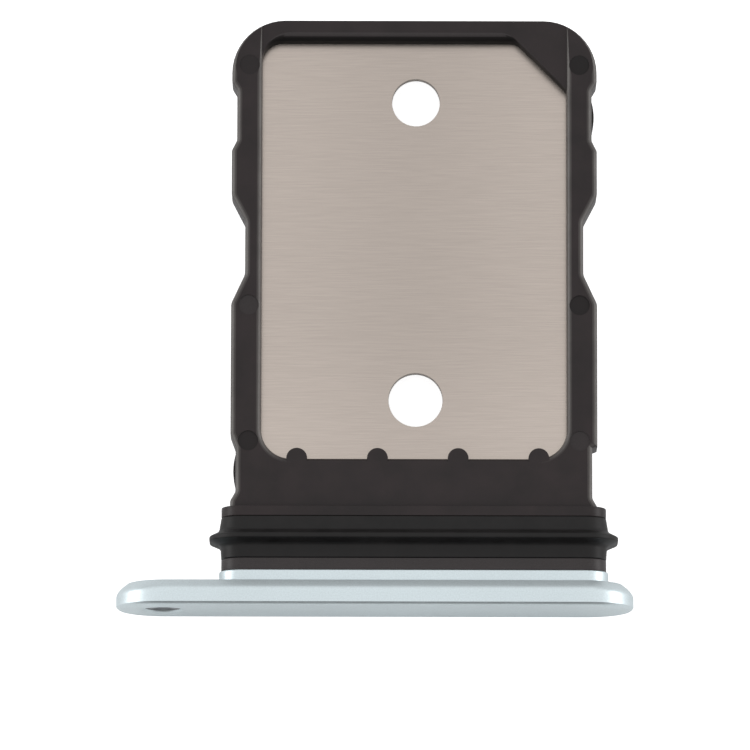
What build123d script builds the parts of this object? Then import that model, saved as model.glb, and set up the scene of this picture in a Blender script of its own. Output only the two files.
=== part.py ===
"""A SIM card tray: a metal face cap, a moulded carrier frame, a steel card plate and a rubber seal ring.

All sizes are in millimetres. X runs along the cap, Y runs from the cap's outer face to the far end
of the carrier, and Z is up, with the card side on top. The origin is under the middle of the tray.
"""
import os

from build123d import *

# The nano card that the tray carries
card_width = 8.80
card_length = 12.30
card_thickness = 0.67
card_corner_cut = 1.65

# Room round the card in its pocket
card_side_clearance = 0.15
card_end_clearance = 0.04
card_headroom = 0.08
corner_cut_clearance = 0.15
pocket_near_radius = 0.90
pocket_far_radius = 0.60
pocket_blend_radius = 0.45

# Steel plate that floors the pocket
plate_thickness = 0.30
plate_embed = 0.30
window_lip = 0.35
plate_hole_near_diameter = 1.61
plate_hole_near_distance = 1.875
plate_hole_far_diameter = 1.43
plate_hole_far_setback = 1.75
plate_hole_offset = 0.05

# Carrier block, rails and end bar
rail_width = 0.90
under_plate_lip = 0.25
block_length = 1.465
rail_outer_chamfer = 0.12
rail_inner_chamfer = 0.14
rail_under_chamfer = 0.08
end_bar_width = 0.63
end_bar_drop = 0.12
end_bar_chamfer = 0.16
end_corner_radius = 1.60
lead_in_length = 1.65
lead_in_drop = 0.07

# Notches in the outer sides of the rails: the near one, then from the far end back to the waist
notch_depth = 0.155
near_notch_overrun = 0.33
near_notch_ramp_left = 0.42
near_notch_ramp_right = 0.06
near_notch_setback_left = 0.47
near_notch_setback_right = 0.29
near_notch_flare = 0.27
far_notch_setback = 1.90
far_notch_ramp_far = 0.25
far_notch_length = 1.51
far_notch_ramp_near = 0.30
latch_length = 1.37
waist_depth = 0.41
waist_ramp_far = 0.79
waist_length = 1.60
waist_ramp_near = 0.88
waist_corner_radius = 0.35
notch_corner_radius = 0.20

# Half-round ribs on the near wall of the pocket
rib_radius = 0.31
rib_count = 4
rib_pitch = 2.395
rib_row_offset = 0.115

# Traces of the moulding: ejector pin marks on the rails, and gate stubs in two notches
mark_radius = 0.30
mark_depth = 0.03
mark_rail_setback = 0.375
mark_near_distance = 0.53
mark_middle_setback = 0.06
mark_far_setback = 1.37
stub_length = 0.98
stub_height = 0.60
stub_proud = 0.07
near_stub_setback = 0.67

# Flanges that hold the seal: rounded bars right across the tray
flange_overhang = 0.255
flange_rise = 0.33
flange_radius = 0.65
front_flange_length = 0.36
rear_flange_length = 0.30
flange_edge_chamfer = 0.02

# Seal ring: it swells towards its middle, where one blunt lip stands round it
seal_length = 1.26
seal_wall = 0.45
seal_swell_front = 0.03
seal_swell_rear = 0.07
lip_height = 0.36
lip_foot = 0.42
lip_tip = 0.13
lip_tip_radius = 0.055
lip_foot_radius = 0.08

# Face cap: a bar with half-round ends and the pin hole at its left end
cap_overhang_left = 3.12
cap_overhang_right = 0.82
cap_rise = 0.415
cap_thickness = 0.77
cap_back_chamfer = 0.22
cap_front_chamfer = 0.08
pin_hole_diameter = 1.04
pin_hole_lead_in = 0.17

# Neck on the back of the cap, and the tongue of the carrier that is seated in it
neck_length = 0.33
neck_overhang = 0.06
neck_chamfer = 0.03
tongue_side_wall = 0.85
tongue_top_wall = 0.48
tongue_sink = 0.25
tongue_corner_radius = 0.15

# Distance within which two places count as the same
tolerance = 0.001

# Places along Y, from the cap's outer face
neck_end = cap_thickness + neck_length
seal_start = neck_end + front_flange_length
seal_end = seal_start + seal_length
block_start = seal_end + rear_flange_length
pocket_start = block_start + block_length
pocket_length = rib_radius + card_length + card_end_clearance
pocket_end = pocket_start + pocket_length
tray_length = pocket_end + end_bar_width

# Places of the notches along Y
near_notch_end = pocket_start + near_notch_overrun
far_notch_ramp_end = tray_length - far_notch_setback
far_notch_end = far_notch_ramp_end - far_notch_ramp_far
far_notch_start = far_notch_end - far_notch_length
latch_end = far_notch_start - far_notch_ramp_near
latch_start = latch_end - latch_length
waist_end = latch_start - waist_ramp_far
waist_start = waist_end - waist_length
waist_ramp_start = waist_start - waist_ramp_near

# Widths: the pocket, the rails round it, the flanges and the cap
pocket_half_width = card_width / 2 + card_side_clearance
carrier_half_width = pocket_half_width + rail_width
notch_half_width = carrier_half_width - notch_depth
waist_half_width = carrier_half_width - waist_depth
flange_width = 2 * (carrier_half_width + flange_overhang)
cap_length = flange_width + cap_overhang_left + cap_overhang_right
body_offset = (cap_overhang_left - cap_overhang_right) / 2

# Heights: the carrier round the plate and the card, the flanges and the cap, all on one middle
pocket_depth = card_thickness + card_headroom
carrier_thickness = pocket_depth + plate_thickness + under_plate_lip
flange_height = carrier_thickness + 2 * flange_rise
cap_height = flange_height + 2 * cap_rise
cap_middle = cap_height / 2
carrier_bottom = cap_middle - carrier_thickness / 2
carrier_top = cap_middle + carrier_thickness / 2
plate_bottom = carrier_bottom + under_plate_lip
plate_top = plate_bottom + plate_thickness
end_bar_top = carrier_top - end_bar_drop


def across(section, start, end, x=body_offset):
    """Extrude a section of the XZ plane from one Y to another, centred on the cap's mid-height."""
    plane = Plane(origin=(x, start, cap_middle), x_dir=(1, 0, 0), z_dir=(0, 1, 0))
    return extrude(plane * section, end - start)


def flange_section(inset=0.0):
    """The flanges' rounded outline, drawn in by an inset."""
    return RectangleRounded(
        flange_width - 2 * inset,
        flange_height - 2 * inset,
        flange_radius - inset,
    )


def tongue_section():
    """The section of the tongue that ties the carrier into the cap."""
    return RectangleRounded(
        flange_width - 2 * tongue_side_wall,
        flange_height - 2 * tongue_top_wall,
        tongue_corner_radius,
    )


def rounded_outline(corners):
    """A closed face through (x, y, radius) corners, placed on the carrier's centre line."""
    points = [(body_offset + x, y) for x, y, radius in corners]
    radii = [radius for x, y, radius in corners]
    return make_face(FilletPolyline(*points, radius=radii, close=True))


def side_corners(near_notch_setback, near_notch_ramp):
    """The corners of one side of the carrier, from inside the seal groove to the far end."""
    near_notch_start = block_start + near_notch_setback
    return [
        (carrier_half_width, seal_start, 0.0),
        (carrier_half_width, near_notch_start - near_notch_flare, notch_corner_radius),
        (notch_half_width, near_notch_start, notch_corner_radius),
        (notch_half_width, near_notch_end, 0.0),
        (carrier_half_width, near_notch_end + near_notch_ramp, 0.0),
        (carrier_half_width, waist_ramp_start, waist_corner_radius),
        (waist_half_width, waist_start, waist_corner_radius),
        (waist_half_width, waist_end, waist_corner_radius),
        (carrier_half_width, latch_start, waist_corner_radius),
        (carrier_half_width, latch_end, notch_corner_radius),
        (notch_half_width, far_notch_start, notch_corner_radius),
        (notch_half_width, far_notch_end, notch_corner_radius),
        (carrier_half_width, far_notch_ramp_end, notch_corner_radius),
        (carrier_half_width, tray_length, end_corner_radius),
    ]


def carrier_outline():
    """The outer shape of block, rails and end bar, seen from above."""
    right = side_corners(near_notch_setback_right, near_notch_ramp_right)
    left_side = side_corners(near_notch_setback_left, near_notch_ramp_left)
    left = [(-x, y, radius) for x, y, radius in left_side]
    return rounded_outline(right + left[::-1])


def pocket_outline(grow=0.0):
    """The card pocket seen from above: a rectangle with its far right corner cut off."""
    side = pocket_half_width + grow
    near = pocket_start - grow
    far = pocket_end + grow
    cut = card_corner_cut - corner_cut_clearance + grow * (2 - 2**0.5)
    return rounded_outline([
        (-side, near, pocket_near_radius + grow),
        (side, near, pocket_near_radius + grow),
        (side, far - cut, 0.0),
        (side - cut, far, pocket_blend_radius + grow),
        (-side, far, pocket_far_radius + grow),
    ])


def make_face_cap():
    """The metal cap: a bar with half-round ends, a pin hole, and a hollow neck on its back."""
    cap = across(SlotOverall(cap_length, cap_height), 0, cap_thickness, x=0)
    cap = chamfer(cap.edges().group_by(Axis.Y)[-1], cap_back_chamfer)
    cap = chamfer(cap.edges().group_by(Axis.Y)[0], cap_front_chamfer)
    neck = across(flange_section(-neck_overhang), cap_thickness - cap_back_chamfer, neck_end)
    neck = chamfer(neck.edges().group_by(Axis.Y)[-1], neck_chamfer)
    cap += neck
    cap -= across(tongue_section(), cap_thickness - tongue_sink, neck_end)
    pin_hole_x = cap_height / 2 - cap_length / 2
    cap -= across(Circle(pin_hole_diameter / 2), 0, cap_thickness, x=pin_hole_x)
    rim = cap.edges().filter_by(GeomType.CIRCLE).filter_by(
        lambda edge: abs(edge.radius - pin_hole_diameter / 2) < tolerance
    )
    return fillet(rim.group_by(Axis.Y)[0], pin_hole_lead_in)


def make_flanges():
    """The core across the tray: tongue, front flange, seal groove and rear flange in one."""
    core = across(tongue_section(), cap_thickness - tongue_sink, neck_end)
    core += across(flange_section(seal_wall), neck_end, block_start)
    for start, end in ((neck_end, seal_start), (seal_end, block_start)):
        flange = across(flange_section(), start, end)
        core += chamfer(flange.edges().filter_by(Plane.XZ), flange_edge_chamfer)
    return core


def make_rail_blank():
    """Block, rails and end bar before the pocket is cut, with their outer edges eased."""
    blank = extrude(Pos(0, 0, carrier_bottom) * carrier_outline(), carrier_thickness)
    blank = chamfer(blank.edges().group_by(Axis.Z)[-1], rail_outer_chamfer)
    blank = chamfer(blank.edges().group_by(Axis.Z)[0], rail_under_chamfer)
    flange_back = Plane(origin=(0, block_start, 0), z_dir=(0, 1, 0))
    return split(blank, bisect_by=flange_back, keep=Keep.TOP)


def channel_outline():
    """The top layer of the pocket seen from above: as wide as the pocket, and open at the far end."""
    far = tray_length + rail_inner_chamfer
    return rounded_outline([
        (-pocket_half_width, pocket_start, pocket_near_radius),
        (pocket_half_width, pocket_start, pocket_near_radius),
        (pocket_half_width, far, 0.0),
        (-pocket_half_width, far, 0.0),
    ])


def make_pocket():
    """The space over the card plate, open through the end bar in its top layer."""
    pocket = extrude(Pos(0, 0, plate_top) * pocket_outline(), pocket_depth)
    pocket += extrude(Pos(0, 0, end_bar_top) * channel_outline(), end_bar_drop)
    easing = Pos(0, 0, carrier_top - rail_inner_chamfer) * channel_outline()
    pocket += extrude(easing, rail_inner_chamfer, taper=-45)
    end_bar_easing = loft([
        Pos(0, 0, end_bar_top - end_bar_chamfer) * pocket_outline(),
        Pos(0, 0, end_bar_top) * pocket_outline(end_bar_chamfer),
    ], ruled=True)
    channel = extrude(Pos(0, 0, plate_top) * channel_outline(), pocket_depth)
    return pocket + (end_bar_easing & channel)


def make_ribs():
    """Half-round ribs that hold the card off the near wall of the pocket."""
    first = body_offset + rib_row_offset - rib_pitch * (rib_count - 1) / 2
    middle = (plate_top + carrier_top) / 2
    ribs = Part()
    for index in range(rib_count):
        ribs += Pos(first + index * rib_pitch, pocket_start, middle) * Cylinder(rib_radius, pocket_depth)
    return ribs


def make_lead_in():
    """The wedge taken off the top of the far end, which guides the tray into its slot."""
    far = tray_length + rail_outer_chamfer
    near = tray_length - lead_in_length
    wedge = make_face(Polyline(
        (near, carrier_top),
        (far, carrier_top),
        (far, carrier_top - lead_in_drop),
        close=True,
    ))
    return extrude(Plane.YZ.offset(body_offset) * wedge, carrier_half_width, both=True)


def make_ejector_marks():
    """The shallow round marks that the ejector pins leave on both rails."""
    places = (
        pocket_start + mark_near_distance,
        waist_ramp_start - mark_middle_setback,
        tray_length - mark_far_setback,
    )
    marks = Part()
    for side in (-1, 1):
        x = body_offset + side * (pocket_half_width + mark_rail_setback)
        for y in places:
            marks += Pos(x, y, carrier_top) * Cylinder(mark_radius, 2 * mark_depth)
    return marks


def make_gate_stub(side, middle):
    """The trace of a gate in a notch: a low swelling that runs out at both ends."""
    start = middle - stub_length / 2
    end = middle + stub_length / 2
    wall = body_offset + side * notch_half_width
    root = wall - side * rail_outer_chamfer
    swelling = ThreePointArc((wall, start), (wall + side * stub_proud, middle), (wall, end))
    outline = make_face(swelling + Polyline((wall, end), (root, end), (root, start), (wall, start)))
    return extrude(Pos(0, 0, cap_middle - stub_height / 2) * outline, stub_height)


def make_carrier_frame():
    """The moulded frame with its pocket, plate seat, ribs, lead-in, marks and gate stubs."""
    frame = make_rail_blank() + make_flanges()
    frame -= make_pocket()
    frame += make_ribs()
    frame -= make_lead_in()
    frame -= make_ejector_marks()
    frame += make_gate_stub(-1, near_notch_end - near_stub_setback)
    frame += make_gate_stub(1, (far_notch_start + far_notch_end) / 2)
    frame -= extrude(Pos(0, 0, plate_bottom) * pocket_outline(plate_embed), plate_thickness)
    frame -= extrude(Pos(0, 0, carrier_bottom) * pocket_outline(-window_lip), plate_bottom - carrier_bottom)
    return frame


def make_card_plate():
    """The steel plate under the card, with its two round holes."""
    plate = extrude(Pos(0, 0, plate_bottom) * pocket_outline(plate_embed), plate_thickness)
    holes = (
        (pocket_start + plate_hole_near_distance, plate_hole_near_diameter),
        (pocket_end - plate_hole_far_setback, plate_hole_far_diameter),
    )
    middle = (plate_bottom + plate_top) / 2
    for y, diameter in holes:
        place = Pos(body_offset + plate_hole_offset, y, middle)
        plate -= place * Cylinder(diameter / 2, plate_thickness)
    return plate


def make_seal_ring():
    """The rubber ring: one profile with a blunt lip, swept round the carrier's groove."""
    middle = (seal_start + seal_end) / 2
    profile = FilletPolyline(
        (0, seal_start),
        (seal_wall, seal_start),
        (seal_wall + seal_swell_front, middle - lip_foot / 2),
        (seal_wall + lip_height, middle - lip_tip / 2),
        (seal_wall + lip_height, middle + lip_tip / 2),
        (seal_wall + seal_swell_rear, middle + lip_foot / 2),
        (seal_wall, seal_end),
        (0, seal_end),
        radius=[0, 0, lip_foot_radius, lip_tip_radius, lip_tip_radius, lip_foot_radius, 0, 0],
        close=True,
    )
    groove_half_width = flange_width / 2 - seal_wall
    groove_half_height = flange_height / 2 - seal_wall
    half_path = FilletPolyline(
        (body_offset, 0, cap_middle + groove_half_height),
        (body_offset + groove_half_width, 0, cap_middle + groove_half_height),
        (body_offset + groove_half_width, 0, cap_middle - groove_half_height),
        (body_offset, 0, cap_middle - groove_half_height),
        radius=flange_radius - seal_wall,
    )
    cut = Plane(origin=(body_offset, 0, cap_middle + groove_half_height), x_dir=(0, 0, 1), z_dir=(-1, 0, 0))
    half_ring = sweep(cut * make_face(profile), path=half_path)
    return half_ring + mirror(half_ring, about=Plane.YZ.offset(body_offset))


def main():
    """Build each piece and write it to its own file."""
    os.makedirs("parts", exist_ok=True)
    pieces = {
        "face_cap": make_face_cap(),
        "carrier_frame": make_carrier_frame(),
        "card_plate": make_card_plate(),
        "seal_ring": make_seal_ring(),
    }
    for name, piece in pieces.items():
        export_step(Pos(0, -tray_length / 2, 0) * piece, f"parts/{name}.step")


if __name__ == "__main__":
    main()
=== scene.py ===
"""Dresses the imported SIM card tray: metal face cap, moulded carrier frame, steel card plate and rubber seal.

Sizes in the classes are in millimetres, as on a drawing, and the finished meshes are in metres. The axes are
the frame's own: X runs along the cap, Y from the cap's outer face to the far end, and Z is up, card side on top.
"""
import logging
import math
from dataclasses import dataclass
from enum import Enum
from typing import Iterable, Sequence

import bmesh
import bpy
from bpy.types import Material, MeshPolygon, Node, NodeSocket, Object
from mathutils import Matrix, Vector


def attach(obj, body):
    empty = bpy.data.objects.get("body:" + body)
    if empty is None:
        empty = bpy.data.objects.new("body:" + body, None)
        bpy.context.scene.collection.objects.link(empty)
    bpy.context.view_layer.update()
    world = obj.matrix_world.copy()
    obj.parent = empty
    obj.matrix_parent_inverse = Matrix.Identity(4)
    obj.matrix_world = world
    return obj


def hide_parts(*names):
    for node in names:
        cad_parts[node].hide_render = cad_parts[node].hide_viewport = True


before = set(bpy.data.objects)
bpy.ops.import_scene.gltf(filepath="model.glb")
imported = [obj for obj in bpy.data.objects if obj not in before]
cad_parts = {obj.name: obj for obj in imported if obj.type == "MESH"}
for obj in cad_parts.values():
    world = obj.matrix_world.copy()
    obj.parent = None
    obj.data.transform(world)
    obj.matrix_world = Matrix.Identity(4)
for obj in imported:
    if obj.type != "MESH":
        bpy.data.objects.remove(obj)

logging.basicConfig(level=logging.INFO, format="%(message)s")
LOG = logging.getLogger("sim_card_tray")

METRE = 0.001
BODY = "root"
SMOOTH_LIMIT = math.radians(32)
WELD = 1e-4
CORNER_STEPS = 12

# Face attribute: rubbed rail edges painted paler as highlight, and the cap's machined edges.
WEAR_AND_HIGHLIGHT = "wear_and_highlight"
# Face attribute of painted light and shade: the cap's bore painted dark, the frame's pin marks and walls painted
# lighter or darker.
PAINTED_TONE = "painted_light_and_shade"
NOISE_BAND = (0.3, 0.7)
RAMP_STOPS = (0.32, 0.68)

Point = tuple[float, float]
Pair = tuple[float, float]
Triple = tuple[float, float, float]
Loop = list[bmesh.types.BMVert]


class Join(Enum):
    """How one solid is combined with another."""

    ADD = "UNION"
    CUT = "DIFFERENCE"


class Slot(Enum):
    """The record's material slots."""

    CAP = "anodised_cap"
    FRAME = "moulded_frame"
    PLATE = "brushed_plate"
    SEAL = "rubber_seal"


class Level(Enum):
    """Which way the levels of a shell are stacked."""

    UP = "z"
    ALONG = "y"


@dataclass(frozen=True)
class Corner:
    """One corner of an outline: its place, and the radius that rounds it."""

    x: float
    y: float
    radius: float = 0.0


def left_normal(start: Vector, end: Vector) -> Vector:
    """The unit normal on the left of a step from start to end."""
    step = (end - start).normalized()
    return Vector((-step.y, step.x))


def rounded_outline(corners: Sequence[Corner], inset: float = 0.0, steps: int = CORNER_STEPS) -> list[Point]:
    """Points round a closed outline, drawn in by an inset, with the same count for every inset.

    Args:
        corners: the corners, counter-clockwise.
        inset: how far the outline is drawn in, or out where it is negative.
        steps: the segments of each rounded corner.

    Returns:
        The points, counter-clockwise.
    """
    points: list[Point] = []
    count = len(corners)
    spots = [Vector((c.x, c.y)) for c in corners]
    for index, corner in enumerate(corners):
        here = spots[index]
        before = left_normal(spots[index - 1], here)
        after = left_normal(here, spots[(index + 1) % count])
        apex = here + (before + after) * (inset / (1 + before.dot(after)))
        if corner.radius == 0:
            points.append((apex.x, apex.y))
            continue
        turn = math.atan2(before.x * after.y - before.y * after.x, before.dot(after))
        side = 1 if turn > 0 else -1
        radius = max(corner.radius - side * inset, 0.0)
        middle = apex + (before + after) * (side * radius / (1 + before.dot(after)))
        first = math.atan2(-before.y * side, -before.x * side)
        for step in range(steps + 1):
            angle = first + turn * step / steps
            points.append((middle.x + radius * math.cos(angle), middle.y + radius * math.sin(angle)))
    return points


def box_corners(x: float, y: float, width: float, height: float, radius: float) -> list[Corner]:
    """The corners of a rounded rectangle round a middle point."""
    half_w, half_h = width / 2, height / 2
    signs = ((-1, -1), (1, -1), (1, 1), (-1, 1))
    return [Corner(x + sx * half_w, y + sy * half_h, radius) for sx, sy in signs]


def circle(x: float, y: float, radius: float, count: int) -> list[Point]:
    """Points round a circle, counter-clockwise."""
    turns = (math.tau * step / count for step in range(count))
    return [(x + radius * math.cos(a), y + radius * math.sin(a)) for a in turns]


def rounding(radius: float, steps: int) -> list[Pair]:
    """Pairs of drop from the face and inset from the side along a rounded edge, from the side to the face."""
    angles = (math.pi / 2 * step / steps for step in range(steps + 1))
    return [(radius * (1 - math.sin(a)), radius * (1 - math.cos(a))) for a in angles]


def weld(mesh: bmesh.types.BMesh) -> None:
    """Merge points that lie on each other, and remove edges and faces with no size."""
    bmesh.ops.remove_doubles(mesh, verts=mesh.verts[:], dist=WELD)
    bmesh.ops.dissolve_degenerate(mesh, edges=mesh.edges[:], dist=WELD)


class Shell:
    """A mesh under construction, in millimetres, put together from loops and the skins between them."""

    def __init__(self, level: Level = Level.UP) -> None:
        """Start an empty mesh whose loops lie flat across the level's axis."""
        self.mesh = bmesh.new()
        self.level = level

    def loop(self, points: Iterable[Point], height: float) -> Loop:
        """Add one loop of vertices at a height along the level's axis."""
        if self.level is Level.UP:
            return [self.mesh.verts.new((x, y, height)) for x, y in points]
        return [self.mesh.verts.new((x, height, y)) for x, y in points]

    def rings(self, corners: Sequence[Corner], levels: Iterable[Pair], steps: int = CORNER_STEPS) -> list[Loop]:
        """Add one loop of an outline for each pair of height and inset."""
        return [self.loop(rounded_outline(corners, inset, steps), height) for height, inset in levels]

    def skin(self, loops: Sequence[Loop]) -> None:
        """Join each loop to the next with quads."""
        for low, high in zip(loops, loops[1:]):
            for index in range(len(low)):
                after = (index + 1) % len(low)
                self.mesh.faces.new((low[index], low[after], high[after], high[index]))

    def cover(self, *loops: Loop) -> None:
        """Fill the flat region inside the first loop and outside the others."""
        edges = []
        for loop in loops:
            for index, vert in enumerate(loop):
                pair = (vert, loop[(index + 1) % len(loop)])
                edges.append(self.mesh.edges.get(pair) or self.mesh.edges.new(pair))
        if len(loops) == 1:
            self.mesh.faces.new(loops[0])
        else:
            bmesh.ops.triangle_fill(self.mesh, edges=edges, use_beauty=True)

    def solid(self, name: str) -> Object:
        """Weld the mesh, turn its faces outwards and return it as an object in millimetres."""
        bmesh.ops.remove_doubles(self.mesh, verts=self.mesh.verts[:], dist=WELD)
        bmesh.ops.recalc_face_normals(self.mesh, faces=self.mesh.faces[:])
        data = bpy.data.meshes.new(name)
        self.mesh.to_mesh(data)
        self.mesh.free()
        return link(bpy.data.objects.new(name, data))

    def closed(self, name: str, loops: Sequence[Loop]) -> Object:
        """Skin the loops, cover the first and the last, and return the solid."""
        self.skin(loops)
        self.cover(loops[0])
        self.cover(loops[-1])
        return self.solid(name)


def link(thing: Object) -> Object:
    """Put an object in the scene."""
    bpy.context.scene.collection.objects.link(thing)
    return thing


def bake(thing: Object) -> None:
    """Turn an object's modifiers into plain mesh."""
    bpy.context.view_layer.update()
    graph = bpy.context.evaluated_depsgraph_get()
    data = bpy.data.meshes.new_from_object(
        thing.evaluated_get(graph), preserve_all_data_layers=True, depsgraph=graph
    )
    thing.modifiers.clear()
    thing.data = data


def combine(base: Object, tool: Object, join: Join) -> None:
    """Add a solid to another or cut it away, and discard the tool."""
    modifier = base.modifiers.new(join.name, "BOOLEAN")
    modifier.operation = join.value
    modifier.solver = "EXACT"
    modifier.object = tool
    bake(base)
    mesh = bmesh.new()
    mesh.from_mesh(base.data)
    weld(mesh)
    mesh.to_mesh(base.data)
    mesh.free()
    bpy.data.objects.remove(tool, do_unlink=True)


def tidy_mesh(thing: Object, limit: float = SMOOTH_LIMIT) -> None:
    """Bring a finished solid from millimetres to metres, and give it smooth curves and crisp edges.

    Args:
        thing: the solid, in millimetres.
        limit: the angle between two faces from which the edge between them is crisp.
    """
    mesh = bmesh.new()
    mesh.from_mesh(thing.data)
    weld(mesh)
    for face in mesh.faces:
        face.smooth = True
    for edge in mesh.edges:
        edge.smooth = len(edge.link_faces) == 2 and edge.calc_face_angle(0) < limit
    bmesh.ops.scale(mesh, vec=(METRE,) * 3, verts=mesh.verts[:])
    mesh.to_mesh(thing.data)
    mesh.free()
    thing.modifiers.new("even_shading", "WEIGHTED_NORMAL").keep_sharp = True
    bake(thing)


def stack(name: str, corners: Sequence[Corner], levels: Sequence[Pair]) -> Object:
    """A solid whose outline is drawn in or out from level to level.

    Args:
        name: the object's name.
        corners: the outline seen from above, counter-clockwise.
        levels: pairs of height and inset, from the bottom up.

    Returns:
        The solid, in millimetres.
    """
    shell = Shell()
    return shell.closed(name, shell.rings(corners, levels))


class NodeTree:
    """Short calls for putting a node tree together."""

    def __init__(self, tree: bpy.types.NodeTree) -> None:
        """Wrap a tree."""
        self.tree = tree

    def feed(self, node: Node, inputs: dict) -> None:
        """Fill a node's inputs, by name or number, with values or other nodes' outputs."""
        for key, value in inputs.items():
            if isinstance(value, NodeSocket):
                self.tree.links.new(value, node.inputs[key])
            else:
                node.inputs[key].default_value = value

    def add(self, kind: str, inputs: dict | None = None, **settings) -> Node:
        """Add a node, set its properties, and fill its inputs.

        Args:
            kind: the node's type.
            inputs: values or output sockets, by input name or number.
            settings: the node's own properties.

        Returns:
            The new node.
        """
        node = self.tree.nodes.new(kind)
        for key, value in settings.items():
            setattr(node, key, value)
        self.feed(node, inputs or {})
        return node

    def made(self, kind: str, inputs: dict | None = None, output: int | str = 0, **settings) -> NodeSocket:
        """Add a node and return one of its outputs, the first unless another is named."""
        return self.add(kind, inputs, **settings).outputs[output]

    def maths(self, operation: str, *values: NodeSocket | float, clamp: bool = False) -> NodeSocket:
        """The result of one sum on values or sockets."""
        return self.made("ShaderNodeMath", dict(enumerate(values)), operation=operation, use_clamp=clamp)

    def spread(self, value: NodeSocket, source: Pair, target: tuple, kind: str = "LINEAR") -> NodeSocket:
        """A value brought from one range to another, evenly or by a smooth step."""
        ends = dict(zip(("From Min", "From Max", "To Min", "To Max"), (*source, *target)))
        return self.made("ShaderNodeMapRange", {"Value": value, **ends}, "Result", interpolation_type=kind)

    def painted(self, name: str) -> NodeSocket:
        """The number that a piece's faces store under a name."""
        return self.made("ShaderNodeAttribute", output="Fac", attribute_name=name)

    def noise(self, place: NodeSocket, size: float, detail: float) -> NodeSocket:
        """A noise whose grains are about one size, in the units of the place."""
        inputs = {"Vector": place, "Scale": 1 / size, "Detail": detail, "Roughness": 0.6}
        return self.made("ShaderNodeTexNoise", inputs, "Fac")

    def varied(self, amount: NodeSocket, colour: Triple, tones: Pair) -> NodeSocket:
        """A colour, times the first tone in a noise's valleys and the second on its hills."""
        ramp = self.add("ShaderNodeValToRGB", {"Fac": amount})
        for stop, place, tone in zip(ramp.color_ramp.elements, RAMP_STOPS, tones):
            stop.position = place
            stop.color = (*(part * tone for part in colour), 1.0)
        return ramp.outputs["Color"]

    def blend(self, amount: NodeSocket | float, base: NodeSocket, other: NodeSocket | Triple,
              mode: str = "MIX") -> NodeSocket:
        """One colour laid over another by an amount."""
        if not isinstance(other, NodeSocket):
            other = (*other, 1.0)
        return self.made("ShaderNodeMix", {0: amount, 6: base, 7: other}, 2, data_type="RGBA", blend_type=mode)

    def bump(self, height: NodeSocket, strength: float, depth: float) -> NodeSocket:
        """The normal of a surface that a noise roughens by a depth in millimetres."""
        return self.made("ShaderNodeBump", {"Height": height, "Strength": strength, "Distance": depth * METRE})

    def ends(self, sizes: Iterable[str], result: str) -> bpy.types.bpy_prop_collection:
        """Declare a geometry tree's sizes, finish and result, and return its input sockets."""
        for size in sizes:
            self.tree.interface.new_socket(size, in_out="INPUT", socket_type="NodeSocketFloat")
        self.tree.interface.new_socket("Finish", in_out="INPUT", socket_type="NodeSocketMaterial")
        self.tree.interface.new_socket(result, in_out="OUTPUT", socket_type="NodeSocketGeometry")
        self.given = self.add("NodeGroupInput").outputs
        return self.given

    def finish(self, shape: NodeSocket) -> None:
        """Make a geometry tree's shape real, give it the finish and pass it out."""
        real = self.made("GeometryNodeRealizeInstances", {0: shape})
        dressed = self.made("GeometryNodeSetMaterial", {"Geometry": real, "Material": self.given["Finish"]})
        self.add("NodeGroupOutput", {0: dressed})


def grow(thing: Object, tree: bpy.types.NodeTree, values: dict) -> None:
    """Run a geometry tree on an object, with its inputs given by name, and keep the mesh that it makes."""
    modifier = thing.modifiers.new(tree.name, "NODES")
    modifier.node_group = tree
    for item in tree.interface.items_tree:
        if item.in_out == "INPUT" and item.name in values:
            modifier[item.identifier] = values[item.name]
    bake(thing)


@dataclass(frozen=True)
class Finish:
    """A material, whose subclasses work out what goes into its surface shader."""

    name: str

    def surface(self, tree: NodeTree, place: NodeSocket) -> dict:
        """The surface shader's inputs by name, from a place in the object's own coordinates."""
        raise NotImplementedError

    def build(self) -> Material:
        """Make the material."""
        material = bpy.data.materials.new(self.name)
        material.use_nodes = True
        tree = NodeTree(material.node_tree)
        place = tree.made("ShaderNodeTexCoord", output="Object")
        tree.feed(material.node_tree.nodes["Principled BSDF"], self.surface(tree, place))
        return material


@dataclass(frozen=True)
class BlastedAnodising(Finish):
    """Bead-blasted, pale blue anodised aluminium, a little brighter along its machined edges, and painted dark in
    the pin hole as shade.
    """

    name: str = "blasted_anodising"
    colour: Triple = (0.69, 0.775, 0.805)
    edge_colour: Triple = (0.76, 0.82, 0.84)
    edge_share: float = 0.15
    # Painted shade inside the pin hole's bore.
    bore_shade_colour: Triple = (0.22, 0.235, 0.245)
    grain_size: float = 0.045
    grain_tones: Pair = (0.95, 1.05)
    grain_bump: Pair = (0.22, 0.007)
    stain_size: float = 2.6
    stain_tones: Pair = (0.965, 1.0)
    roughness: float = 0.41

    def surface(self, tree: NodeTree, place: NodeSocket) -> dict:
        """A fine grain and faint stains, with lighter edges and the bore painted dark as shade."""
        grain = tree.noise(place, self.grain_size * METRE, detail=2.0)
        stain = tree.noise(place, self.stain_size * METRE, detail=3.0)
        tone = tree.varied(grain, self.colour, self.grain_tones)
        tone = tree.blend(1.0, tone, tree.varied(stain, (1.0, 1.0, 1.0), self.stain_tones), "MULTIPLY")
        share = tree.maths("MULTIPLY", tree.painted(WEAR_AND_HIGHLIGHT), self.edge_share)
        tone = tree.blend(share, tone, self.edge_colour)
        # Painted shade darkens the pin hole's bore.
        tone = tree.blend(tree.painted(PAINTED_TONE), tone, self.bore_shade_colour)
        return {"Base Color": tone, "Normal": tree.bump(grain, *self.grain_bump), "Metallic": 1.0,
                "Roughness": self.roughness}


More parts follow.
